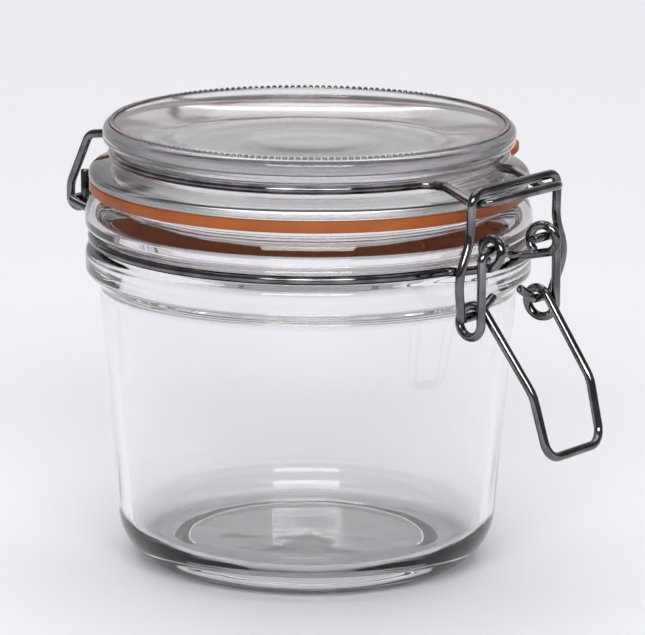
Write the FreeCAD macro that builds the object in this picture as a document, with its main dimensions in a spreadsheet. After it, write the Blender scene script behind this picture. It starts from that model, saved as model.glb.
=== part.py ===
import FreeCAD, Part
import Sketcher

import math
import os

# Lidded glass canister with a wire bail closure.
# Frame: millimetres, origin at the centre of the base, +Z up. The clasp faces -Y and the hinge is at +Y.
# Seven loose pieces: jar, lid, seal ring, lid wire, neck wire, lever wire and link wire.

DIMENSIONS = {
    # jar, radii from the axis and heights from the table
    "punt_rise": 3.0, "punt_radius": 26.0, "foot_inner_radius": 29.6, "foot_radius": 33.0,
    "heel_height": 11.5, "heel_curve": 12.2,
    "wall_foot_radius": 42.45, "wall_top_radius": 46.4, "wall_top_height": 61.0,
    "cove_curve": 5.0, "rib_edge_radius": 48.8, "rib_edge_height": 65.5,
    "rib_radius": 49.7, "rib_low_height": 67.0, "rib_high_height": 70.4, "ring_curve": 1.7,
    "groove_edge_radius": 48.4, "groove_height": 73.7, "groove_half_height": 1.8, "groove_curve": 1.95,
    "ring_radius": 49.8, "ring_low_height": 77.0, "ring_high_height": 78.8, "shoulder_curve": 5.6,
    "land_radius": 46.4, "land_height": 84.0, "land_curve": 0.8, "mouth_radius": 39.4,
    "lip_foot_height": 80.9, "neck_radius": 44.4, "neck_height": 77.9,
    "inner_top_radius": 42.7, "inner_top_height": 57.0,
    "inner_foot_radius": 39.6, "inner_foot_height": 12.5, "inner_curve": 6.4,
    "floor_radius": 33.6, "floor_edge_height": 6.0, "floor_height": 6.8,
    # seal ring
    "seal_gap": 0.1, "seal_thickness": 2.5, "seal_radius": 48.7, "seal_hole_radius": 39.0,
    "tab_reach": 60.5, "tab_width": 11.0, "tab_thickness": 1.8, "tab_root_radius": 46.0,
    "tab_bend_radius": 50.0, "tab_rise": 3.0, "tab_turn": 12.0, "tab_corner": 4.5,
    # lid
    "lid_recess_height": 90.9, "lid_recess_radius": 30.6, "recess_curve": 5.4,
    "recess_side_height": 85.5, "collar_inner_radius": 36.0,
    "collar_radius": 38.75, "collar_drop": 3.4, "collar_edge": 0.6,
    "flange_radius": 49.0, "flange_edge": 0.6, "flange_height": 88.2, "flange_curve": 1.8,
    "shoulder_rise": 1.2,
    "waist_radius": 42.5, "waist_height": 92.4, "waist_curve": 2.25,
    "disc_radius": 45.9, "disc_low_height": 96.1, "disc_high_height": 97.7, "disc_curve": 1.7,
    "bead_radius": 43.9, "bead_size": 0.75, "rim_height": 99.05, "dish_edge_radius": 42.2,
    "dish_radius": 29.6, "dish_height": 95.4, "dish_curve": 23.6, "step_radius": 28.9, "step_depth": 0.5,
    "boss_radius": 13.4,
    # wires: each name that ends in bend is the radius of a bend along the wire's middle line
    "wire_radius": 1.0, "lid_ring_radius": 43.65, "neck_ring_radius": 48.25,
    "arm_spread": 12.6, "arm_bend": 4.0, "arm_straight": 2.2, "arm_end_bend": 2.0,
    "lip_reach": 59.5, "lip_height": 90.8, "lip_half_width": 14.0, "lip_bend": 2.6,
    "lip_seat_reach": 54.8, "lip_seat_height": 89.45, "lip_seat_bend": 1.6,
    "rear_arm_spread": 10.4, "rear_arm_reach": 55.6, "rear_arm_height": 91.1,
    "rear_arm_bend": 3.0, "rear_straight": 2.0, "rear_straight_bend": 8.0,
    "hinge_reach": 59.0, "hinge_height": 76.0, "hook_radius": 2.15, "hook_slack": 0.01,
    "hook_shoulder": 3.2, "hook_shoulder_bend": 6.0, "hook_tail_height": 82.8,
    "neck_bend": 2.5, "bridge_spread": 13.2, "bridge_straight": 1.6, "bridge_bend": 2.0,
    "bridge_pin_bend": 1.4,
    "eye_reach": 57.2, "eye_height": 79.0, "eye_spread": 9.6, "eye_radius": 3.0, "eye_sweep": 320.0,
    "eye_tail": 0.6, "coil_step": 2.35, "coil_bend_share": 0.93,
    "crank_spread": 12.6, "pin_shift": 0.5, "pin_rise": 0.6, "pin_end": 5.0, "pin_bend": 2.2,
    "loop_reach": 54.5, "loop_height": 64.0, "loop_radius": 3.3, "loop_sweep": 325.0,
    "knee_reach": 69.5, "knee_height": 49.7, "knee_spread": 10.6, "knee_bend": 9.0,
    "handle_reach": 73.3, "handle_height": 36.0, "handle_spread": 9.8, "handle_bend": 4.0,
    "link_reach": 56.3, "link_height": 92.6, "link_spread": 15.7, "link_bend": 3.0,
    "link_side_height": 82.5, "link_side_bend": 9.0,
    "link_wide_spread": 19.6, "link_wide_reach": 55.9, "link_wide_height": 74.5,
    "link_low_spread": 16.4, "link_low_bend": 1.8, "link_pin_rise": 1.1,
    "link_pin_spread": 10.2, "link_pin_bend": 4.0, "link_pin_end": 4.8, "link_stub_rise": 3.2,
}

doc = FreeCAD.newDocument("canister")
sheet = doc.addObject("Spreadsheet::Sheet", "dims")
for row, (word, value) in enumerate(DIMENSIONS.items(), start=1):
    sheet.set(f"A{row}", word)
    sheet.set(f"B{row}", str(value))
    sheet.setAlias(f"B{row}", word)
doc.recompute()


def size(*terms):
    """Value of a sum of sheet cells; a term that starts with - is taken away."""
    return sum(-sheet.get(term[1:]) if term[0] == "-" else sheet.get(term) for term in terms)


def formula(*terms):
    """The same sum as an expression that stays bound to the sheet."""
    signed = [f"- dims.{term[1:]}" if term[0] == "-" else f"+ dims.{term}" for term in terms]
    return " ".join(signed).lstrip("+ ")


def vector(x, y, z=0.0):
    return FreeCAD.Vector(x, y, z)


# ---------------------------------------------------------------- sketches and lathe-turned bodies

def new_body(name):
    body = doc.addObject("PartDesign::Body", name)
    body.Label = name
    return body


def origin_plane(body, role):
    return next(feature for feature in body.Origin.OriginFeatures if feature.Role == role)


def new_sketch(body, name, role, offset=None):
    sketch = body.newObject("Sketcher::SketchObject", name)
    sketch.AttachmentSupport = [(origin_plane(body, role), "")]
    sketch.MapMode = "FlatFace"
    if offset is not None:
        sketch.AttachmentOffset = offset
    return sketch


def arc_through(start, end, radius, turn):
    """Arc from start to end; turn is 1 for a left-hand bend and -1 for a right-hand one."""
    chord = end - start
    rise = math.sqrt(max(radius ** 2 - (chord.Length / 2) ** 2, 0.0))
    side = vector(-chord.y, chord.x).normalize() * (rise * turn)
    centre = (start + end) / 2 + side
    first, last = (start, end) if turn > 0 else (end, start)
    angles = [math.atan2(point.y - centre.y, point.x - centre.x) for point in (first, last)]
    circle = Part.Circle(centre, vector(0, 0, 1), radius)
    return Part.ArcOfCircle(circle, angles[0], angles[1])


def bind(sketch, index, name, terms):
    sketch.renameConstraint(index, name)
    sketch.setExpression(f"Constraints.{name}", formula(*terms))


def place_point(sketch, geometry, end, name, across, up):
    """Holds one end of a segment at its two sizes; an empty size lies on the sketch's own axis."""
    if across:
        rule = Sketcher.Constraint("DistanceX", -1, 1, geometry, end, size(*across))
        bind(sketch, sketch.addConstraint(rule), f"{name}_across", across)
    else:
        sketch.addConstraint(Sketcher.Constraint("PointOnObject", geometry, end, -2))
    if up:
        rule = Sketcher.Constraint("DistanceY", -1, 1, geometry, end, size(*up))
        bind(sketch, sketch.addConstraint(rule), f"{name}_up", up)
    else:
        sketch.addConstraint(Sketcher.Constraint("PointOnObject", geometry, end, -1))


def draw_outline(sketch, corners):
    """Closed outline. Each corner is (name, across, up) or (name, across, up, curve, turn): the last
    two give the radius and the bend of the stretch that follows the corner."""
    points = [vector(size(*corner[1]), size(*corner[2])) for corner in corners]
    ends = []
    for number, corner in enumerate(corners):
        start, end = points[number], points[(number + 1) % len(points)]
        if len(corner) > 3:
            geometry = sketch.addGeometry(arc_through(start, end, size(corner[3]), corner[4]))
            ends.append((geometry, (1, 2) if corner[4] > 0 else (2, 1)))
        else:
            geometry = sketch.addGeometry(Part.LineSegment(start, end))
            ends.append((geometry, (1, 2)))
    for number, (geometry, (first, last)) in enumerate(ends):
        following, (next_first, _) = ends[(number + 1) % len(ends)]
        sketch.addConstraint(Sketcher.Constraint("Coincident", geometry, last, following, next_first))
    for corner, (geometry, (first, _)) in zip(corners, ends):
        place_point(sketch, geometry, first, corner[0], corner[1], corner[2])
        if len(corner) > 3:
            rule = Sketcher.Constraint("Radius", geometry, size(corner[3]))
            bind(sketch, sketch.addConstraint(rule), f"{corner[0]}_curve", [corner[3]])


def turned_body(name, corners):
    """A body of revolution about +Z from an outline in the XZ plane."""
    body = new_body(name)
    sketch = new_sketch(body, f"{name}_outline", "XZ_Plane")
    draw_outline(sketch, corners)
    turned = body.newObject("PartDesign::Revolution", f"{name}_turned")
    turned.Profile = sketch
    turned.ReferenceAxis = (sketch, ["V_Axis"])
    turned.Angle = 360.0
    sketch.Visibility = False
    return body


def make_jar():
    """Pressed-glass jar: punted base, tapered wall, a rib and a ring with the wire's groove between, and
    a mouth whose thick lip stands in from the neck."""
    return turned_body("glass_jar", [
        ("punt", [], ["punt_rise"]),
        ("punt_edge", ["punt_radius"], ["punt_rise"]),
        ("foot_inner", ["foot_inner_radius"], []),
        ("foot", ["foot_radius"], [], "heel_curve", 1),
        ("wall_foot", ["wall_foot_radius"], ["heel_height"]),
        ("wall_top", ["wall_top_radius"], ["wall_top_height"], "cove_curve", -1),
        ("rib_edge", ["rib_edge_radius"], ["rib_edge_height"], "ring_curve", 1),
        ("rib_low", ["rib_radius"], ["rib_low_height"]),
        ("rib_high", ["rib_radius"], ["rib_high_height"], "ring_curve", 1),
        ("groove_low", ["groove_edge_radius"], ["groove_height", "-groove_half_height"], "groove_curve", -1),
        ("groove_high", ["groove_edge_radius"], ["groove_height", "groove_half_height"], "ring_curve", 1),
        ("ring_low", ["ring_radius"], ["ring_low_height"]),
        ("ring_high", ["ring_radius"], ["ring_high_height"], "shoulder_curve", 1),
        ("land_outer", ["land_radius"], ["land_height"]),
        ("land_inner", ["mouth_radius", "land_curve"], ["land_height"], "land_curve", 1),
        ("mouth_top", ["mouth_radius"], ["land_height", "-land_curve"]),
        ("mouth_low", ["mouth_radius"], ["lip_foot_height"]),
        ("neck", ["neck_radius"], ["neck_height"]),
        ("inner_top", ["inner_top_radius"], ["inner_top_height"]),
        ("inner_foot", ["inner_foot_radius"], ["inner_foot_height"], "inner_curve", -1),
        ("floor_edge", ["floor_radius"], ["floor_edge_height"]),
        ("floor", [], ["floor_height"]),
    ])


def make_lid():
    """Pressed-glass lid: a collar that centres it in the mouth, a flange, a waist for its wire, and a
    dished top with a raised rim."""
    seal_top = ["land_height", "seal_gap", "seal_thickness"]
    collar_foot = seal_top + ["-collar_drop"]
    return turned_body("glass_lid", [
        ("recess", [], ["lid_recess_height"]),
        ("recess_edge", ["lid_recess_radius"], ["lid_recess_height"], "recess_curve", -1),
        ("recess_side", ["collar_inner_radius"], ["recess_side_height"]),
        ("collar_inner", ["collar_inner_radius"], collar_foot),
        ("collar_foot", ["collar_radius", "-collar_edge"], collar_foot, "collar_edge", 1),
        ("collar_side", ["collar_radius"], collar_foot + ["collar_edge"]),
        ("collar_top", ["collar_radius"], seal_top),
        ("flange_foot", ["flange_radius", "-flange_edge"], seal_top, "flange_edge", 1),
        ("flange_side", ["flange_radius"], seal_top + ["flange_edge"]),
        ("flange_top", ["flange_radius"], ["flange_height"], "flange_curve", 1),
        ("shoulder", ["flange_radius", "-flange_curve"], ["flange_height", "shoulder_rise"]),
        ("waist_low", ["waist_radius", "waist_curve"], ["waist_height", "-waist_curve"], "waist_curve", -1),
        ("waist", ["waist_radius"], ["waist_height"], "waist_curve", -1),
        ("waist_high", ["waist_radius", "waist_curve"], ["waist_height", "waist_curve"], "disc_curve", 1),
        ("disc_low", ["disc_radius"], ["disc_low_height"]),
        ("disc_high", ["disc_radius"], ["disc_high_height"], "disc_curve", 1),
        ("bead_outer", ["bead_radius", "bead_size"], ["rim_height"], "bead_size", 1),
        ("bead_top", ["bead_radius"], ["rim_height", "bead_size"], "bead_size", 1),
        ("bead_inner", ["bead_radius", "-bead_size"], ["rim_height"]),
        ("dish_edge", ["dish_edge_radius"], ["rim_height"], "dish_curve", 1),
        ("dish_foot", ["dish_radius"], ["dish_height"]),
        ("step_top", ["step_radius"], ["dish_height"]),
        ("step_foot", ["step_radius", "-step_depth"], ["dish_height", "-step_depth"]),
        ("boss_foot", ["boss_radius", "step_depth"], ["dish_height", "-step_depth"]),
        ("boss_top", ["boss_radius"], ["dish_height"]),
        ("boss", [], ["dish_height"]),
    ])


def make_seal():
    """Flat rubber ring with a pull tab that turns up past the lid's flange."""
    low = ["land_height", "seal_gap"]
    high = low + ["seal_thickness"]
    body = turned_body("seal_ring", [
        ("hole_low", ["seal_hole_radius"], low),
        ("rim_low", ["seal_radius"], low),
        ("rim_high", ["seal_radius"], high),
        ("hole_high", ["seal_hole_radius"], high),
    ])
    turn = FreeCAD.Placement(vector(0, 0, 0), FreeCAD.Rotation(vector(0, -1, 0), size("tab_turn")))
    sketch = new_sketch(body, "tab_outline", "XZ_Plane", turn)
    sketch.setExpression("AttachmentOffset.Rotation.Angle", "dims.tab_turn")
    top = low + ["tab_thickness"]
    draw_outline(sketch, [
        ("root_low", ["tab_root_radius"], low),
        ("bend_low", ["tab_bend_radius"], low),
        ("tip_low", ["tab_reach"], low + ["tab_rise"]),
        ("tip_high", ["tab_reach"], top + ["tab_rise"]),
        ("bend_high", ["tab_bend_radius"], top),
        ("root_high", ["tab_root_radius"], top),
    ])
    tab = body.newObject("PartDesign::Pad", "tab")
    tab.Profile = sketch
    tab.Midplane = True
    tab.setExpression("Length", "dims.tab_width")
    doc.recompute()
    reach = size("tab_reach")
    tip_edges = []
    for number, edge in enumerate(tab.Shape.Edges, start=1):
        ends = [vertex.Point for vertex in edge.Vertexes]
        radii = [math.hypot(point.x, point.y) for point in ends]
        upright = len(ends) == 2 and abs(ends[0].z - ends[1].z) > 0.9 * size("tab_thickness")
        if upright and min(radii) > reach - 0.1:
            tip_edges.append(f"Edge{number}")
    corners = body.newObject("PartDesign::Fillet", "tab_corners")
    corners.Base = (tab, tip_edges)
    corners.setExpression("Radius", "dims.tab_corner")
    body.Tip = corners
    sketch.Visibility = False
    return body


# ---------------------------------------------------------------- bent wires

def fillet_route(route):
    """Edges of straight runs joined by tangent arcs. A route point is (point, bend radius)."""
    edges = []
    here = route[0][0]
    for (before, _), (corner, bend), (after, _) in zip(route, route[1:], route[2:]):
        back = (before - corner).normalize()
        ahead = (after - corner).normalize()
        half = back.getAngle(ahead) / 2
        reach = bend / math.tan(half)
        middle = (back + ahead).normalize() * (bend / math.sin(half) - bend)
        start, end = corner + back * reach, corner + ahead * reach
        if (start - here).Length > 1e-4:
            edges.append(Part.LineSegment(here, start).toShape())
        edges.append(Part.Arc(start, corner + middle, end).toShape())
        here = end
    edges.append(Part.LineSegment(here, route[-1][0]).toShape())
    return edges


def wire_solid(edges):
    """A round wire along tangent edges: a cylinder for each run and a piece of torus for each arc."""
    radius = size("wire_radius")
    solids = []
    for edge in edges:
        start = edge.valueAt(edge.FirstParameter)
        along = edge.tangentAt(edge.FirstParameter)
        face = Part.Face(Part.Wire(Part.Circle(start, along, radius).toShape()))
        if isinstance(edge.Curve, Part.Circle):
            angle = edge.LastParameter - edge.FirstParameter
            solids.append(face.revolve(edge.Curve.Center, edge.Curve.Axis, math.degrees(angle)))
        else:
            end = edge.valueAt(edge.LastParameter)
            solids.append(face.extrude(end - start))
    return solids[0].multiFuse(solids[1:]).removeSplitter()


def mirrored(edges):
    """The same edges on the other side of the YZ plane, in reverse order."""
    return [edge.mirror(vector(0, 0, 0), vector(1, 0, 0)) for edge in reversed(edges)]


def ring_arc(radius, height, first, last):
    """Arc about +Z between two directions given in degrees from +X."""
    circle = Part.Circle(vector(0, 0, height), vector(0, 0, 1), radius)
    return Part.ArcOfCircle(circle, math.radians(first), math.radians(last)).toShape()


def wire_part(name, solid):
    feature = doc.addObject("Part::Feature", name)
    feature.Label = name
    feature.Shape = solid
    feature.Placement = FreeCAD.Placement()
    return feature


def leave_ring(radius, height, side, spread, bend):
    """Where a wire that leaves a ring at x = spread bends out of it: the ring's angle there, and the
    bend as an arc that runs on parallel to Y. side is -1 for the front and 1 for the rear."""
    centre_x = spread + bend
    centre_y = math.sqrt((radius + bend) ** 2 - centre_x ** 2)
    angle = math.degrees(math.atan2(centre_y, centre_x))
    touch = vector(centre_x, centre_y).normalize() * radius
    centre = vector(centre_x, side * centre_y, height)
    start = vector(touch.x, side * touch.y, height)
    end = vector(spread, side * centre_y, height)
    middle = ((start - centre).normalize() + (end - centre).normalize()).normalize() * bend
    return side * angle, Part.Arc(start, centre + middle, end).toShape(), end


def make_lid_wire():
    """One wire: rear hook, rear arm, round the lid's waist, front lip, and back the same way."""
    radius, height = size("lid_ring_radius"), size("waist_height")
    spread, bend = size("arm_spread"), size("arm_bend")
    front_angle, front_bend, front = leave_ring(radius, height, -1, spread, bend)
    rear_spread = size("rear_arm_spread")
    rear_angle, rear_bend, rear = leave_ring(radius, height, 1, rear_spread, bend)
    lip = fillet_route([
        (vector(0, -size("lip_reach"), size("lip_height")), 0),
        (vector(size("lip_half_width"), -size("lip_reach"), size("lip_height")), size("lip_bend")),
        (vector(spread, -size("lip_seat_reach"), size("lip_seat_height")), size("lip_seat_bend")),
        (vector(spread, front.y - size("arm_straight"), height), size("arm_end_bend")),
        (front, 0),
    ])
    hinge_y, hinge_z = size("hinge_reach"), size("hinge_height")
    gap = size("hook_radius")
    hook_bend = gap - size("hook_slack")
    hook = fillet_route([
        (rear, 0),
        (vector(rear_spread, rear.y + size("rear_straight"), height), size("rear_straight_bend")),
        (vector(rear_spread, size("rear_arm_reach"), size("rear_arm_height")), size("rear_arm_bend")),
        (vector(rear_spread, hinge_y + gap, hinge_z + size("hook_shoulder")), size("hook_shoulder_bend")),
        (vector(rear_spread, hinge_y + gap, hinge_z - gap), hook_bend),
        (vector(rear_spread, hinge_y - gap, hinge_z - gap), hook_bend),
        (vector(rear_spread, hinge_y - gap, size("hook_tail_height")), 0),
    ])
    ring = ring_arc(radius, height, front_angle, rear_angle)
    half = lip + [front_bend, ring, rear_bend] + hook
    return wire_part("lid_wire", wire_solid(half + mirrored(half)))


def coil(centre_y, centre_z, radius, x_start, x_end, first, sweep, count=8):
    """Corner points of a coil about an axis along X. It touches its circle first at the angle first
    (degrees, from +Y towards +Z) and runs on round it by sweep degrees, negative for clockwise."""
    step = sweep / count
    reach = radius / math.cos(math.radians(step / 2))
    corners = []
    for number in range(count):
        angle = math.radians(first + step * (number + 0.5))
        across = x_start + (x_end - x_start) * number / (count - 1)
        corner_y, corner_z = centre_y + reach * math.cos(angle), centre_z + reach * math.sin(angle)
        corners.append(vector(across, corner_y, corner_z))
    return corners


def make_neck_wire():
    """One wire round the jar's groove: an eye at each front end, a bridge with the hinge pin at the rear."""
    radius, height = size("neck_ring_radius"), size("groove_height")
    eye_y, eye_z = -size("eye_reach"), size("eye_height")
    eye_x, step, eye = size("eye_spread"), size("coil_step"), size("eye_radius")
    outer, inner = eye_x + step / 2, eye_x - step / 2
    bend, tail = size("neck_bend"), size("eye_tail")
    front_angle, front_bend, front = leave_ring(radius, height, -1, outer, bend)
    rear_angle, rear_bend, rear = leave_ring(radius, height, 1, size("bridge_spread"), bend)
    turn_points = coil(eye_y, eye_z, eye, outer, inner, -90.0, -size("eye_sweep"))
    end_angle = math.radians(-90.0 - size("eye_sweep"))
    wire_end = vector(inner, eye_y + eye * math.cos(end_angle) + tail * math.sin(end_angle),
                      eye_z + eye * math.sin(end_angle) - tail * math.cos(end_angle))
    eye_bend = size("coil_bend_share") * eye
    route = [(front, 0)] + [(point, eye_bend) for point in turn_points] + [(wire_end, 0)]
    front_eye = fillet_route(route)
    hinge_y, hinge_z = size("hinge_reach"), size("hinge_height")
    bridge = fillet_route([
        (rear, 0),
        (vector(size("bridge_spread"), rear.y + size("bridge_straight"), height), size("bridge_bend")),
        (vector(size("bridge_spread"), hinge_y, hinge_z), size("bridge_pin_bend")),
        (vector(0, hinge_y, hinge_z), 0),
    ])
    ring = ring_arc(radius, height, front_angle, rear_angle)
    back = [front_bend, ring, rear_bend]
    half = front_eye + back + bridge
    return wire_part("neck_wire", wire_solid(half + mirrored(half)))


def make_lever_wire():
    """Pins in the neck wire's eyes, cranks, a loop at each end of the cranks, and the finger handle."""
    pivot_y, pivot_z = -size("eye_reach") - size("pin_shift"), size("eye_height") + size("pin_rise")
    loop_y, loop_z, loop = -size("loop_reach"), size("loop_height"), size("loop_radius")
    outer = size("crank_spread") + size("coil_step") / 2
    inner = outer - size("coil_step")
    turn_points = coil(loop_y, loop_z, loop, outer, inner, 180.0, size("loop_sweep"))
    route = [
        (vector(size("pin_end"), pivot_y, pivot_z), 0),
        (vector(outer, pivot_y, pivot_z), size("pin_bend")),
    ]
    route += [(point, size("coil_bend_share") * loop) for point in turn_points]
    route += [
        (vector(size("knee_spread"), -size("knee_reach"), size("knee_height")), size("knee_bend")),
        (vector(size("handle_spread"), -size("handle_reach"), size("handle_height")), size("handle_bend")),
        (vector(0, -size("handle_reach"), size("handle_height")), 0),
    ]
    half = fillet_route(route)
    return wire_part("lever_wire", wire_solid(half + mirrored(half)))


def make_link_wire():
    """Bail that hooks over the lid wire's lip; its turned-in ends pivot in the lever's loops."""
    top_y, top_z = -size("link_reach"), size("link_height")
    pin_y, pin_z = -size("loop_reach"), size("loop_height") + size("link_pin_rise")
    wide = vector(size("link_wide_spread"), -size("link_wide_reach"), size("link_wide_height"))
    side_z = size("link_side_height")
    side_y = top_y + (wide.y - top_y) * (top_z - side_z) / (top_z - wide.z)
    half = fillet_route([
        (vector(0, top_y, top_z), 0),
        (vector(size("link_spread"), top_y, top_z), size("link_bend")),
        (vector(size("link_spread"), side_y, side_z), size("link_side_bend")),
        (wide, size("link_side_bend")),
        (vector(size("link_low_spread"), pin_y, pin_z), size("link_low_bend")),
        (vector(size("link_pin_spread"), pin_y, pin_z), size("link_pin_bend")),
        (vector(size("link_pin_end"), pin_y, pin_z + size("link_stub_rise")), 0),
    ])
    return wire_part("link_wire", wire_solid(half + mirrored(half)))


def check_document(parts):
    """Stops on a failed object, or a shape that is empty, invalid or not one solid."""
    for item in doc.Objects:
        if "Invalid" in item.State or "Error" in item.State:
            raise RuntimeError(f"{item.Name} failed: {item.State}")
    for part in parts:
        if part.Shape.isNull() or not part.Shape.isValid() or len(part.Shape.Solids) != 1:
            raise RuntimeError(f"{part.Label} is not one valid solid")


def main():
    makers = [make_jar, make_lid, make_seal, make_lid_wire, make_neck_wire, make_lever_wire, make_link_wire]
    parts = [maker() for maker in makers]
    doc.recompute()
    check_document(parts)
    os.makedirs("parts", exist_ok=True)
    for part in parts:
        part.Shape.exportStep(f"parts/{part.Label}.step")
        box = part.Shape.BoundBox
        print(f"{part.Label:12s} {part.Shape.Volume:9.1f} mm3  x {box.XMin:.1f} {box.XMax:.1f}"
              f"  y {box.YMin:.1f} {box.YMax:.1f}  z {box.ZMin:.1f} {box.ZMax:.1f}")


main()
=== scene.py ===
import math

import bmesh
import bpy
from mathutils import Matrix, Vector


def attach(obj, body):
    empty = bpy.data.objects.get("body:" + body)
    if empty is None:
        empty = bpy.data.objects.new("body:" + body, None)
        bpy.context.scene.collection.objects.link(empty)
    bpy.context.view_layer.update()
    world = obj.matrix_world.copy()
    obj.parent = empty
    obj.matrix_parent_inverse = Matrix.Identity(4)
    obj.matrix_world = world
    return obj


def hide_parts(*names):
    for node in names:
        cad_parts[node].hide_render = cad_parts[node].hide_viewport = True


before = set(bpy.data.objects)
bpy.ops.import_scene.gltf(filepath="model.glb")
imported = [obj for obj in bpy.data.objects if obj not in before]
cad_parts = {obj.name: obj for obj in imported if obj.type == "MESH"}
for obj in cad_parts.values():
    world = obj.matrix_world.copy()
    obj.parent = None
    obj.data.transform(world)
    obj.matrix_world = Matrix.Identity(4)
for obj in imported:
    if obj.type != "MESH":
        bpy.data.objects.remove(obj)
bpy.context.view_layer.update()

# Lidded glass canister with a wire bail closure. Shapes are written in millimetres and turned into metres
# as each piece is made. The clasp faces -Y and the hinge +Y.

MM = 0.001
TURN = 2 * math.pi

# Turned profiles: (radius, height), or (radius, height, curve, turn) where an arc of radius curve runs on
# to the next corner, with turn 1 for a left-hand bend and -1 for a right-hand one.
JAR_OUTSIDE = [
    (0, 3.0), (26.0, 3.0), (29.6, 0), (33.0, 0, 12.2, 1), (42.45, 11.5), (46.4, 61.0, 5.0, -1),
    (48.8, 65.5, 1.7, 1), (49.7, 67.0), (49.7, 70.4, 1.7, 1), (48.4, 71.9, 1.95, -1), (48.4, 75.5, 1.7, 1),
    (49.78, 77.0), (49.78, 78.8, 5.6, 1), (46.4, 83.8), (43.6, 84.0),
]
JAR_INSIDE = [
    (43.6, 84.0), (40.2, 84.0, 0.8, 1), (39.4, 83.2), (39.4, 80.9), (44.4, 77.9), (42.7, 57.0),
    (39.6, 12.5, 6.4, -1), (33.6, 6.0), (0, 6.8),
]
LID_UNDERSIDE = [
    (0, 90.9), (30.6, 90.9, 5.4, -1), (36.0, 85.5), (36.0, 83.2), (38.15, 83.2, 0.6, 1), (38.75, 83.8),
    (38.75, 86.6), (45.0, 86.6),
]
LID_OUTSIDE = [
    (45.0, 86.6), (48.4, 86.6, 0.6, 1), (49.0, 87.2), (49.0, 88.2, 1.8, 1), (47.2, 89.4),
    (44.75, 90.15, 2.25, -1), (42.5, 92.4, 2.25, -1), (44.75, 94.65, 1.7, 1), (45.9, 96.1),
    (45.9, 97.7, 1.7, 1), (44.65, 99.05),
]
LID_TOP = [
    (43.15, 99.05), (42.2, 99.05, 23.6, 1), (29.6, 95.4), (28.9, 95.4), (28.0, 94.9), (14.6, 94.9),
    (12.4, 95.4), (0, 95.4),
]
ROUND_STEPS = 240  # points round the jar and the seal

# the beads on the lid's rim
BEADS, BEAD_RADIUS, BEAD_HEIGHT, BEAD_SIZE = 195, 43.9, 99.05, 0.68
BEAD_LENGTH = 0.76  # share of the spacing that a bead fills
BEAD_NECK = 0.4  # width left between two beads, as a share of a bead's

SEAL_INNER, SEAL_OUTER, SEAL_LOW, SEAL_HIGH = 39.0, 48.7, 83.97, 86.55
TAB_ROOT, TAB_BEND, TAB_TIP, TAB_RISE = 46.0, 50.0, 60.48, 3.0
TAB_HALF_WIDTH, TAB_CORNER, TAB_THICKNESS, TAB_TURN = 5.5, 4.5, 1.8, -12.0
TAB_STATIONS = 40
TAB_BLEND = 1.0  # how far before its bend the tab starts to rise
TAB_SWEEP = 1.25  # over 1, so the rise starts gently
TAB_TIP_THICKNESS = 0.55  # share of the tab's thickness left at its tip

WIRE_RADIUS, WIRE_SIDES = 1.0, 20
WIRE_END = [(0.0, 0.72), (0.12, 0.9), (0.3, 1.0)]  # a cut end: (depth, share of the wire's radius)
WEAR_SCALE = 0.02  # of the map that the wire's finish follows, per millimetre of wire
COIL_BEND = 0.93  # bend at a coil's corners, as a share of the coil's radius


# ---------------------------------------------------------------- turned shapes

def sampled_outline(corners, step=0.25):
    """The outline as points about step apart, with its arcs followed."""
    points = []
    for corner, following in zip(corners, corners[1:]):
        start, end = Vector(corner[:2]), Vector(following[:2])
        chord = end - start
        if len(corner) > 2:
            radius, turn = corner[2], corner[3]
            rise = math.sqrt(max(radius ** 2 - (chord.length / 2) ** 2, 0.0))
            centre = (start + end) / 2 + Vector((-chord.y, chord.x)).normalized() * rise * turn
            first = math.atan2(start.y - centre.y, start.x - centre.x)
            sweep = turn * 2 * math.asin(min(chord.length / 2 / radius, 1.0))
            count = max(2, round(abs(sweep) * radius / step))
            for number in range(count):
                angle = first + sweep * number / count
                points.append(centre + Vector((math.cos(angle), math.sin(angle))) * radius)
        else:
            count = max(2, round(chord.length / step))
            points += [start + chord * number / count for number in range(count)]
    points.append(Vector(corners[-1][:2]))
    return points


def softened(points, width, step=0.25):
    """The outline with its sharp corners rounded, as fire-polished glass has them. The ends stay."""
    reach = int(3 * width / step) + 1
    weights = [math.exp(-0.5 * (offset * step / width) ** 2) for offset in range(-reach, reach + 1)]
    padded = [2 * points[0] - points[offset] for offset in range(reach, 0, -1)] + points
    padded += [2 * points[-1] - points[-1 - offset] for offset in range(1, reach + 1)]
    smooth = []
    for number in range(len(points)):
        total = Vector((0.0, 0.0))
        for offset, weight in enumerate(weights):
            total += padded[number + offset] * weight
        smooth.append(total / sum(weights))
    return smooth


def thinned(points, bend=2.5, longest=4.0):
    """Drops points where the outline runs straight."""
    kept = [points[0]]
    for point, following in zip(points[1:], points[2:]):
        ahead, behind = following - point, point - kept[-1]
        if behind.length > longest or math.degrees(abs(behind.angle_signed(ahead, 0.0))) > bend:
            kept.append(point)
    return kept + [points[-1]]


def turned_outline(corners, width):
    """The finished outline as (radius, height) points; width says how far its corners are rounded."""
    return [(point.x, point.y) for point in thinned(softened(sampled_outline(corners), width))]


def on_circle(radius, angle, height):
    return Vector((radius * math.cos(angle), radius * math.sin(angle), height))


def turned_rows(outline, segments):
    """Rows of points round the axis; a point on the axis makes a row of one."""
    rows = []
    for radius, height in outline:
        if radius < 1e-4:
            rows.append([Vector((0, 0, height))])
        else:
            rows.append([on_circle(radius, TURN * k / segments, height) for k in range(segments)])
    return rows


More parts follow.
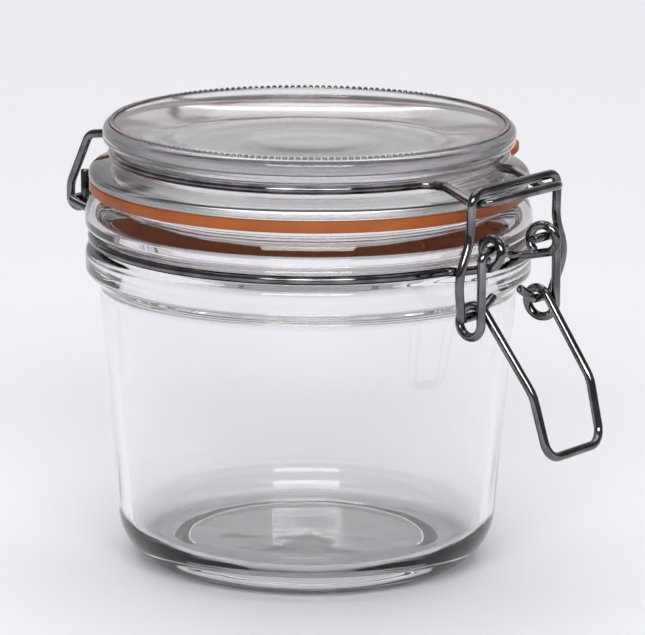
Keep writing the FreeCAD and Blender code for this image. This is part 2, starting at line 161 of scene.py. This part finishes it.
def joined_rows(mesh, rows, closed=False):
    """Faces between rows of points, whose counts may differ by a whole factor."""
    loops = [[mesh.verts.new(point) for point in row] for row in rows]
    pairs = list(zip(loops, loops[1:])) + ([(loops[-1], loops[0])] if closed else [])
    for low, high in pairs:
        count = min(len(low), len(high))
        if count == 1:
            ring, tip, flip = (high, low[0], True) if len(low) == 1 else (low, high[0], False)
            for k in range(len(ring)):
                pair = [ring[k], ring[(k + 1) % len(ring)]]
                mesh.faces.new((pair[::-1] if flip else pair) + [tip])
            continue
        low_factor, high_factor = len(low) // count, len(high) // count
        for k in range(count):
            bottom = [low[(k * low_factor + step) % len(low)] for step in range(low_factor + 1)]
            top = [high[(k * high_factor + step) % len(high)] for step in range(high_factor + 1)]
            mesh.faces.new(bottom + top[::-1])


def in_metres(mesh):
    bmesh.ops.scale(mesh, vec=(MM, MM, MM), verts=mesh.verts)


def new_object(name, mesh):
    """An object in the scene from mesh data, which is freed."""
    data = bpy.data.meshes.new(name)
    mesh.to_mesh(data)
    mesh.free()
    thing = bpy.data.objects.new(name, data)
    bpy.context.scene.collection.objects.link(thing)
    return thing


def add_piece(name, mesh, material, body, node):
    """A finished piece: smooth, with its normals outward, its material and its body."""
    bmesh.ops.recalc_face_normals(mesh, faces=mesh.faces)
    in_metres(mesh)
    for face in mesh.faces:
        face.smooth = True
    piece = new_object(name, mesh)
    piece.data.materials.append(material)
    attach(piece, body)
    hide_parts(node)
    return piece


def make_jar(material):
    mesh = bmesh.new()
    outline = turned_outline(JAR_OUTSIDE, 0.35)[:-1] + turned_outline(JAR_INSIDE, 0.4)
    joined_rows(mesh, turned_rows(outline, ROUND_STEPS))
    add_piece("jar_shell", mesh, material, "jar", "glass_jar")


def bead_rows(per_bead=12, across=10):
    """The lid's rim: a row of small round beads, with points enough for each bead."""
    segments = BEADS * per_bead
    rows = []
    for number in range(across + 1):
        lean = math.pi * number / across
        row = []
        for k in range(segments):
            along = ((k % per_bead) / per_bead * 2 - 1) / BEAD_LENGTH
            crown = math.sqrt(max(1 - along ** 2, 0.0))
            radius = BEAD_RADIUS + BEAD_SIZE * math.cos(lean) * (BEAD_NECK + (1 - BEAD_NECK) * crown)
            height = BEAD_HEIGHT + BEAD_SIZE * math.sin(lean) * crown
            row.append(on_circle(radius, TURN * k / segments, height))
        rows.append(row)
    return rows


def make_lid(material):
    mesh = bmesh.new()
    segments = BEADS * 2
    lower = turned_outline(LID_UNDERSIDE, 0.4)[:-1] + turned_outline(LID_OUTSIDE, 0.3)
    upper = turned_outline(LID_TOP, 0.6)
    joined_rows(mesh, turned_rows(lower, segments) + bead_rows() + turned_rows(upper, segments))
    add_piece("lid_shell", mesh, material, "lid", "glass_lid")


# ---------------------------------------------------------------- rubber seal

def rounded_section(half_width, half_height, corner, count=5):
    """A rounded rectangle about the origin, as (across, up) points."""
    points = []
    for quarter, (side, level) in enumerate([(1, 1), (-1, 1), (-1, -1), (1, -1)]):
        for number in range(count):
            angle = math.radians(90 * (quarter + number / (count - 1)))
            points.append((side * (half_width - corner) + corner * math.cos(angle),
                           level * (half_height - corner) + corner * math.sin(angle)))
    return points


def make_tab():
    """The pull tab along +X, turned to its place: it narrows in a round tip and rises past its bend."""
    mesh = bmesh.new()
    rows = []
    for number in range(TAB_STATIONS + 1):
        reach = TAB_ROOT + (TAB_TIP - TAB_ROOT) * math.sin(number / TAB_STATIONS * math.pi / 2)
        beyond = max(reach - (TAB_TIP - TAB_CORNER), 0.0)
        half_width = TAB_HALF_WIDTH - TAB_CORNER + math.sqrt(max(TAB_CORNER ** 2 - beyond ** 2, 0.0))
        risen = max((reach - TAB_BEND + TAB_BLEND) / (TAB_TIP - TAB_BEND + TAB_BLEND), 0.0)
        level = SEAL_LOW + TAB_THICKNESS / 2 + TAB_RISE * risen ** TAB_SWEEP
        half_height = TAB_THICKNESS / 2 * (1 if number < TAB_STATIONS else TAB_TIP_THICKNESS)
        rows.append([Vector((reach, across, level + up))
                     for across, up in rounded_section(half_width, half_height, 0.45)])
    joined_rows(mesh, rows)
    bmesh.ops.holes_fill(mesh, edges=[edge for edge in mesh.edges if edge.is_boundary])
    bmesh.ops.recalc_face_normals(mesh, faces=mesh.faces)
    bmesh.ops.rotate(mesh, verts=mesh.verts, matrix=Matrix.Rotation(math.radians(TAB_TURN), 3, "Z"))
    in_metres(mesh)
    return new_object("tab", mesh)


def make_seal(material):
    """The ring with its pull tab, joined into one skin."""
    mesh = bmesh.new()
    middle, level = (SEAL_INNER + SEAL_OUTER) / 2, (SEAL_LOW + SEAL_HIGH) / 2
    section = rounded_section((SEAL_OUTER - SEAL_INNER) / 2, (SEAL_HIGH - SEAL_LOW) / 2, 0.4)
    outline = [(middle + across, level + up) for across, up in section]
    joined_rows(mesh, turned_rows(outline, ROUND_STEPS), closed=True)
    ring = add_piece("seal_ring_rubber", mesh, material, "lid", "seal_ring")

    tab = make_tab()
    union = ring.modifiers.new("tab", "BOOLEAN")
    union.operation, union.solver, union.object = "UNION", "EXACT", tab
    bpy.context.view_layer.update()
    whole = bpy.data.meshes.new_from_object(ring.evaluated_get(bpy.context.evaluated_depsgraph_get()))
    ring.modifiers.remove(union)
    bpy.data.objects.remove(tab)
    ring.data = whole
    for face in whole.polygons:
        face.use_smooth = True


# ---------------------------------------------------------------- bent wires

def arc_points(centre, first, last, step=8.0):
    """Points round an arc between two arms from its centre, which are equally long."""
    count = max(2, math.ceil(math.degrees(first.angle(last)) / step))
    return [centre + first.slerp(last, number / count).normalized() * first.length
            for number in range(count + 1)]


def route_points(route):
    """Points along straight runs joined by tangent arcs. A route point is (x, y, z, bend radius)."""
    points = [Vector(route[0][:3])]
    for before, corner, after in zip(route, route[1:], route[2:]):
        here, bend = Vector(corner[:3]), corner[3]
        back, ahead = (Vector(before[:3]) - here).normalized(), (Vector(after[:3]) - here).normalized()
        half = back.angle(ahead) / 2
        centre = here + (back + ahead).normalized() * bend / math.sin(half)
        start, end = here + back * bend / math.tan(half), here + ahead * bend / math.tan(half)
        points += arc_points(centre, start - centre, end - centre)
    points.append(Vector(route[-1][:3]))
    return points


def ring_points(radius, height, first, last, step=2.5):
    """Points round +Z between two directions in degrees."""
    count = math.ceil(abs(last - first) / step)
    return [on_circle(radius, math.radians(first + (last - first) * number / count), height)
            for number in range(count + 1)]


def leave_ring(radius, height, side, spread, bend):
    """Where a wire at x = spread leaves a ring: the ring's angle there and the points of the bend.
    side is -1 for the front and 1 for the rear."""
    centre_x = spread + bend
    centre_y = math.sqrt((radius + bend) ** 2 - centre_x ** 2)
    angle = math.degrees(math.atan2(centre_y, centre_x))
    centre = Vector((centre_x, side * centre_y, height))
    touch = Vector((centre_x, side * centre_y, 0)).normalized() * radius
    first = Vector((touch.x, touch.y, height)) - centre
    return side * angle, arc_points(centre, first, Vector((-bend, 0, 0)))


def coil(centre_y, centre_z, radius, x_start, x_end, first, sweep, count=8):
    """Corners of a coil about an axis along X, from the angle first (degrees, from +Y towards +Z)."""
    step = sweep / count
    reach = radius / math.cos(math.radians(step / 2))
    corners = []
    for number in range(count):
        angle = math.radians(first + step * (number + 0.5))
        across = x_start + (x_end - x_start) * number / (count - 1)
        corners.append((across, centre_y + reach * math.cos(angle), centre_z + reach * math.sin(angle),
                        COIL_BEND * radius))
    return corners


def both_sides(half):
    """The path through x = 0, where half starts, and its mirror image."""
    return [Vector((-point.x, point.y, point.z)) for point in reversed(half)] + half[1:]


def make_tube(name, path, material, body, node, closest=0.02):
    """A round wire along the path, with its cut ends rounded off and a map of along and around for its
    finish. Points closer than closest to the one before are left out."""
    clean = [path[0]]
    for point in path[1:]:
        if (point - clean[-1]).length > closest:
            clean.append(point)
    tangents = []
    for number, point in enumerate(clean):
        before, after = clean[max(number - 1, 0)], clean[min(number + 1, len(clean) - 1)]
        into, out = point - before, after - point
        both = [vector.normalized() for vector in (into, out) if vector.length > 0]
        tangents.append(sum(both, Vector()).normalized())
    side = tangents[0].orthogonal().normalized()
    mesh = bmesh.new()
    rows, lengths, travelled = [], [], 0.0
    for number, (point, tangent) in enumerate(zip(clean, tangents)):
        side = (side - tangent * side.dot(tangent)).normalized()
        up = tangent.cross(side)
        travelled += (point - clean[number - 1]).length if number else 0.0
        if number == 0:
            stations = WIRE_END
        elif number == len(clean) - 1:
            stations = [(-depth, width) for depth, width in reversed(WIRE_END)]
        else:
            stations = [(0.0, 1.0)]
        for depth, width in stations:
            centre = point + tangent * depth
            angles = [TURN * k / WIRE_SIDES for k in range(WIRE_SIDES)]
            rows.append([centre + (side * math.cos(angle) + up * math.sin(angle)) * WIRE_RADIUS * width
                         for angle in angles])
            lengths.append(travelled + depth)
    layer = mesh.loops.layers.uv.new("along")
    loops = [[mesh.verts.new(point) for point in row] for row in rows]
    for row, (low, high) in enumerate(zip(loops, loops[1:])):
        for k in range(WIRE_SIDES):
            following = (k + 1) % WIRE_SIDES
            face = mesh.faces.new([low[k], low[following], high[following], high[k]])
            values = [(k, row), (k + 1, row), (k + 1, row + 1), (k, row + 1)]
            for loop, (around, station) in zip(face.loops, values):
                loop[layer].uv = (around / WIRE_SIDES, lengths[station] * WEAR_SCALE)
    mesh.faces.new(loops[0][::-1])
    mesh.faces.new(loops[-1])
    add_piece(name, mesh, material, body, node)


def make_lid_wire(material):
    """Rear hook, rear arm, round the lid's waist, front lip, and back the same way."""
    radius, height, front, rear, bend = 43.65, 92.4, 12.6, 10.4, 4.0
    front_angle, front_bend = leave_ring(radius, height, -1, front, bend)
    rear_angle, rear_bend = leave_ring(radius, height, 1, rear, bend)
    front_y, rear_y = front_bend[-1].y, rear_bend[-1].y
    lip_y, lip_z, lip_half_width = -59.5, 90.8, 14.0
    lip = route_points([
        (0, lip_y, lip_z, 0), (lip_half_width, lip_y, lip_z, 2.6), (front, -54.8, 89.45, 1.6),
        (front, front_y - 2.2, height, 2.0), (front, front_y, height, 0),
    ])
    outer_y, inner_y, foot_z, foot_bend = 61.15, 56.85, 73.85, 2.14
    hook = route_points([
        (rear, rear_y, height, 0), (rear, rear_y + 2.0, height, 8.0), (rear, 55.6, 91.1, 3.0),
        (rear, outer_y, 79.2, 6.0), (rear, outer_y, foot_z, foot_bend), (rear, inner_y, foot_z, foot_bend),
        (rear, inner_y, 82.8, 0),
    ])
    half = lip + front_bend[::-1] + ring_points(radius, height, front_angle, rear_angle) + rear_bend + hook
    make_tube("lid_wire_bent", both_sides(half), material, "lid", "lid_wire")


def make_neck_wire(material):
    """Round the jar's groove, with an eye at each front end and the hinge pin at the rear."""
    radius, height, outer, inner, bridge, bend = 48.25, 73.7, 10.775, 8.425, 13.2, 2.5
    front_angle, front_bend = leave_ring(radius, height, -1, outer, bend)
    rear_angle, rear_bend = leave_ring(radius, height, 1, bridge, bend)
    front_y, rear_y = front_bend[-1].y, rear_bend[-1].y
    eye, eye_y, eye_z, first, sweep, tail = 3.0, -57.2, 79.0, -90.0, -320.0, 0.6
    last = math.radians(first + sweep)
    wire_end = (inner, eye_y + eye * math.cos(last) + tail * math.sin(last),
                eye_z + eye * math.sin(last) - tail * math.cos(last), 0)
    front_eye = route_points([(outer, front_y, height, 0),
                              *coil(eye_y, eye_z, eye, outer, inner, first, sweep), wire_end])
    pin_y, pin_z = 59.0, 76.0
    rear_bridge = route_points([
        (bridge, rear_y, height, 0), (bridge, rear_y + 1.6, height, 2.0), (bridge, pin_y, pin_z, 1.4),
        (0, pin_y, pin_z, 0),
    ])
    half = front_eye[::-1] + front_bend[::-1] + ring_points(radius, height, front_angle, rear_angle)
    half += rear_bend + rear_bridge
    make_tube("neck_wire_bent", both_sides(half[::-1]), material, "jar", "neck_wire")


def make_lever_wire(material):
    """Pins in the neck wire's eyes, cranks, a loop at each, and the finger handle."""
    pivot_y, pivot_z, outer, inner = -57.7, 79.6, 13.775, 11.425
    handle_y, handle_z = -73.3, 36.0
    route = [(5.0, pivot_y, pivot_z, 0), (outer, pivot_y, pivot_z, 2.2)]
    route += coil(-54.5, 64.0, 3.3, outer, inner, 180.0, 325.0)
    route += [(10.6, -69.5, 49.7, 9.0), (9.8, handle_y, handle_z, 4.0), (0, handle_y, handle_z, 0)]
    make_tube("lever_wire_bent", both_sides(route_points(route)[::-1]), material, "lever", "lever_wire")


def make_link_wire(material):
    """The bail over the lip, with its turned-in ends in the lever's loops."""
    top_x, top_y, top_z, side_z = 15.7, -56.3, 92.6, 82.5
    wide_x, wide_y, wide_z = 19.6, -55.9, 74.5
    pin_y, pin_z = -54.5, 65.1
    side_y = top_y + (wide_y - top_y) * (top_z - side_z) / (top_z - wide_z)
    half = route_points([
        (0, top_y, top_z, 0), (top_x, top_y, top_z, 3.0), (top_x, side_y, side_z, 9.0),
        (wide_x, wide_y, wide_z, 9.0), (16.4, pin_y, pin_z, 1.8), (10.2, pin_y, pin_z, 4.0),
        (4.8, pin_y, 68.3, 0),
    ])
    make_tube("link_wire_bent", both_sides(half), material, "link", "link_wire")


# ---------------------------------------------------------------- materials

def new_material(name, **settings):
    """A Principled material, its node tree and its shader node."""
    material = bpy.data.materials.new(name)
    material.use_nodes = True
    shader = material.node_tree.nodes["Principled BSDF"]
    for key, value in settings.items():
        shader.inputs[key.replace("_", " ")].default_value = value
    return material, material.node_tree, shader


def add_node(tree, kind, **values):
    """A node with its properties and inputs set; an underscore stands for a space in an input's name."""
    node = tree.nodes.new(kind)
    for key, value in values.items():
        if hasattr(node, key):
            setattr(node, key, value)
        else:
            node.inputs[key.replace("_", " ")].default_value = value
    return node


def object_place(tree):
    return add_node(tree, "ShaderNodeTexCoord").outputs["Object"]


def noise(tree, coordinates, scale, detail):
    node = add_node(tree, "ShaderNodeTexNoise", Scale=scale, Detail=detail)
    tree.links.new(coordinates, node.inputs["Vector"])
    return node.outputs["Fac"]


def stretched(tree, coordinates, scale):
    node = add_node(tree, "ShaderNodeMapping", Scale=scale)
    tree.links.new(coordinates, node.inputs["Vector"])
    return node.outputs["Vector"]


def stretched_noise(tree, coordinates, scale, detail):
    return noise(tree, stretched(tree, coordinates, scale), 1.0, detail)


def remapped(tree, value, from_low, from_high, to_low, to_high):
    """The value moved from one range to another, and held at the new range's ends."""
    node = add_node(tree, "ShaderNodeMapRange", From_Min=from_low, From_Max=from_high,
                    To_Min=to_low, To_Max=to_high)
    tree.links.new(value, node.inputs["Value"])
    return node.outputs["Result"]


def joined(tree, operation, first, second):
    node = add_node(tree, "ShaderNodeMath", operation=operation)
    tree.links.new(first, node.inputs[0])
    tree.links.new(second, node.inputs[1])
    return node.outputs[0]


def two_tone(tree, shader, factor, dark, light):
    """Colours the surface between two (position, red, green, blue) stops."""
    ramp = add_node(tree, "ShaderNodeValToRGB")
    tree.links.new(factor, ramp.inputs["Fac"])
    for stop, (position, *colour) in zip(ramp.color_ramp.elements, (dark, light)):
        stop.position, stop.color = position, (*colour, 1)
    tree.links.new(ramp.outputs["Color"], shader.inputs["Base Color"])


def add_bump(tree, shader, layers):
    """Stacks height textures: each layer is (height, depth in metres)."""
    normal = None
    for height, depth in layers:
        bump = add_node(tree, "ShaderNodeBump", Strength=1.0, Distance=depth)
        tree.links.new(height, bump.inputs["Height"])
        if normal is not None:
            tree.links.new(normal, bump.inputs["Normal"])
        normal = bump.outputs["Normal"]
    tree.links.new(normal, shader.inputs["Normal"])


def mould_haze(tree, place, haze):
    """Adds the mould's matt texture: faint on the lid's dish and stronger on the recess under it."""
    between_z, recess_matt, dish_matt = 0.0916, 0.2, 0.14
    edge_radius = 0.0425
    apart = add_node(tree, "ShaderNodeSeparateXYZ")
    tree.links.new(place, apart.inputs[0])
    radius = add_node(tree, "ShaderNodeVectorMath", operation="LENGTH")
    tree.links.new(stretched(tree, place, (1, 1, 0)), radius.inputs[0])
    matt = remapped(tree, apart.outputs["Z"], between_z, between_z + 0.0005, recess_matt, dish_matt)
    within = remapped(tree, radius.outputs["Value"], edge_radius, edge_radius + 0.0004, 1.0, 0.0)
    return joined(tree, "ADD", haze, joined(tree, "MULTIPLY", matt, within))


def glass_material(name, wave_depth, ripple_depth, matt_recess=False):
    """Clear pressed glass: slow waves from the mould, finer ripples and a trace of handling haze."""
    material, tree, shader = new_material(name, Base_Color=(0.985, 0.985, 0.99, 1), IOR=1.5,
                                          Transmission_Weight=1.0)
    depth = add_node(tree, "ShaderNodeVolumeAbsorption", Color=(0.26, 0.22, 0.33, 1), Density=5.0)
    tree.links.new(depth.outputs["Volume"], tree.nodes["Material Output"].inputs["Volume"])
    place = object_place(tree)
    waves = stretched_noise(tree, place, (60, 60, 14), 1.0)
    ripples = stretched_noise(tree, place, (150, 150, 30), 1.0)
    add_bump(tree, shader, [(waves, wave_depth), (ripples, ripple_depth)])
    finish = remapped(tree, stretched_noise(tree, place, (45, 45, 45), 6.0), 0.3, 0.7, 0.0, 0.03)
    if matt_recess:
        finish = mould_haze(tree, place, finish)
    tree.links.new(finish, shader.inputs["Roughness"])
    return material


def rubber_material():
    """Natural rubber: warm orange-brown with darker clouds, a fine grain and a soft sheen."""
    material, tree, shader = new_material("seal_rubber", IOR=1.5)
    place = object_place(tree)
    two_tone(tree, shader, noise(tree, place, 90.0, 5.0), (0.3, 0.29, 0.061, 0.004), (0.7, 0.38, 0.09, 0.006))
    grain = noise(tree, place, 2600.0, 3.0)
    tree.links.new(remapped(tree, grain, 0.3, 0.7, 0.42, 0.6), shader.inputs["Roughness"])
    add_bump(tree, shader, [(noise(tree, place, 400.0, 2.0), 0.00006), (grain, 0.00003)])
    return material


def steel_material():
    """Bright-drawn steel wire: faint lines along the wire and small worn patches."""
    material, tree, shader = new_material("bail_steel", Metallic=1.0)
    along = add_node(tree, "ShaderNodeUVMap", uv_map="along").outputs["UV"]
    lines = stretched_noise(tree, along, (30, 8, 1), 4.0)
    patches = noise(tree, object_place(tree), 160.0, 4.0)
    wear = joined(tree, "MULTIPLY", lines, patches)
    tree.links.new(remapped(tree, wear, 0.1, 0.45, 0.02, 0.1), shader.inputs["Roughness"])
    two_tone(tree, shader, patches, (0.35, 0.09, 0.091, 0.095), (0.65, 0.22, 0.221, 0.228))
    add_bump(tree, shader, [(lines, 0.00002)])
    return material


# ---------------------------------------------------------------- studio

def make_floor():
    mesh = bmesh.new()
    bmesh.ops.create_grid(mesh, x_segments=1, y_segments=1, size=4.0)
    floor = new_object("floor", mesh)
    paint = new_material("floor_paint", Base_Color=(0.84, 0.832, 0.862, 1), Roughness=0.7)[0]
    floor.data.materials.append(paint)


def add_light(name, place, aim, width, height, power):
    data = bpy.data.lights.new(name, "AREA")
    data.shape, data.size, data.size_y, data.energy = "RECTANGLE", width, height, power
    light = bpy.data.objects.new(name, data)
    light.location = place
    light.rotation_euler = (Vector(aim) - Vector(place)).to_track_quat("-Z", "Y").to_euler()
    bpy.context.scene.collection.objects.link(light)


def make_studio():
    make_floor()
    add_light("overhead_panel", (0.5, 0.4, 2.2), (0.3, 0.25, 0), 3.0, 3.0, 46.0)
    add_light("front_panel", (-1.1, -0.86, 0.95), (0, 0, 0.05), 1.3, 0.5, 20.0)
    add_light("back_panel", (1.26, 0.985, 0.72), (0, 0, 0.72), 3.0, 1.4, 6.0)
    world = bpy.data.worlds.new("studio")
    bpy.context.scene.world = world
    world.use_nodes = True
    background = world.node_tree.nodes["Background"]
    background.inputs["Color"].default_value = (0.95, 0.94, 1.0, 1)
    background.inputs["Strength"].default_value = 0.19


def make_camera():
    """The camera stands 1 m from the jar's axis, a little to the right, and looks down at it."""
    azimuth, distance, height, sideways, pitch, roll = -52.0, 1.0, 0.2837, 0.00323, 12.90, 0.5
    turn = math.radians(azimuth)
    data = bpy.data.cameras.new("camera")
    data.sensor_width, data.lens = 36.0, 255.9
    camera = bpy.data.objects.new("camera", data)
    camera.location = (math.sin(turn) * distance + math.cos(turn) * sideways,
                       -math.cos(turn) * distance + math.sin(turn) * sideways, height)
    facing = Matrix.Rotation(turn, 4, "Z") @ Matrix.Rotation(math.radians(90 - pitch), 4, "X")
    camera.rotation_euler = (facing @ Matrix.Rotation(math.radians(roll), 4, "Z")).to_euler()
    bpy.context.scene.collection.objects.link(camera)
    bpy.context.scene.camera = camera


def main():
    jar_glass = glass_material("jar_glass", 0.0002, 0.00004)
    lid_glass = glass_material("lid_glass", 0.0001, 0.00001, matt_recess=True)
    rubber, steel = rubber_material(), steel_material()
    make_jar(jar_glass)
    make_lid(lid_glass)
    make_seal(rubber)
    make_lid_wire(steel)
    make_neck_wire(steel)
    make_lever_wire(steel)
    make_link_wire(steel)
    make_studio()
    make_camera()
    bpy.context.scene.view_settings.view_transform = "Standard"


main()
